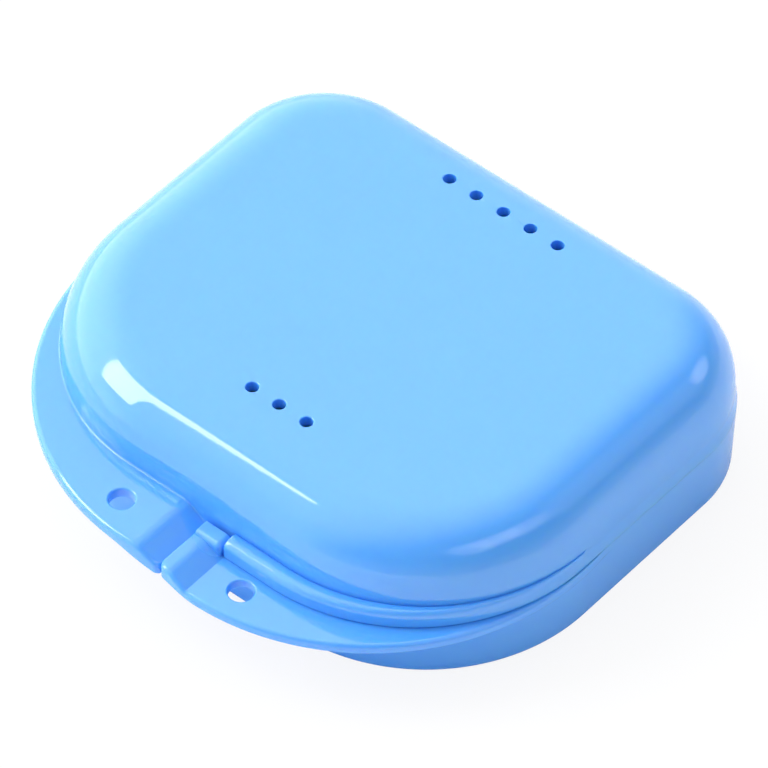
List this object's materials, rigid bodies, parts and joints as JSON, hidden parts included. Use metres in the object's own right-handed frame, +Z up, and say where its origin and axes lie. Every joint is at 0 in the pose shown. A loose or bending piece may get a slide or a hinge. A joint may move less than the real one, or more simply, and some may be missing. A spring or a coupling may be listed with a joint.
{
  "type": "retainer case",
  "caption": "Hinged plastic case for a dental retainer, with a domed vented lid on a shallow tray, two front finger flanges and a tab beside their seam.",
  "frame": {"origin": "centre of the tray's flat underside, leaving out the flanges and hinges", "axes": "+Z up from the underside to the lid's flat top, -Y towards the two flanges at the front, +Y towards the hinges, +X to the right when the front faces the viewer"},
  "size_m": [0.085, 0.0846, 0.0233],
  "materials": {
    "tray_plastic": "smooth sky blue moulded polypropylene",
    "lid_plastic": "smooth sky blue moulded polypropylene",
    "pin_steel": "plain drawn steel wire"
  },
  "bodies": {
    "base": {"tray": "tray_plastic", "hinge_pin_left": "pin_steel", "hinge_pin_right": "pin_steel"},
    "lid": {"lid": "lid_plastic"}
  },
  "joints": [
    {"name": "lid_hinge", "type": "hinge", "parent": "base", "child": "lid", "pos_m": [0, 0.03745, 0.0085], "axis": [-1, 0, 0], "range_deg": [0, 115]}
  ]
}
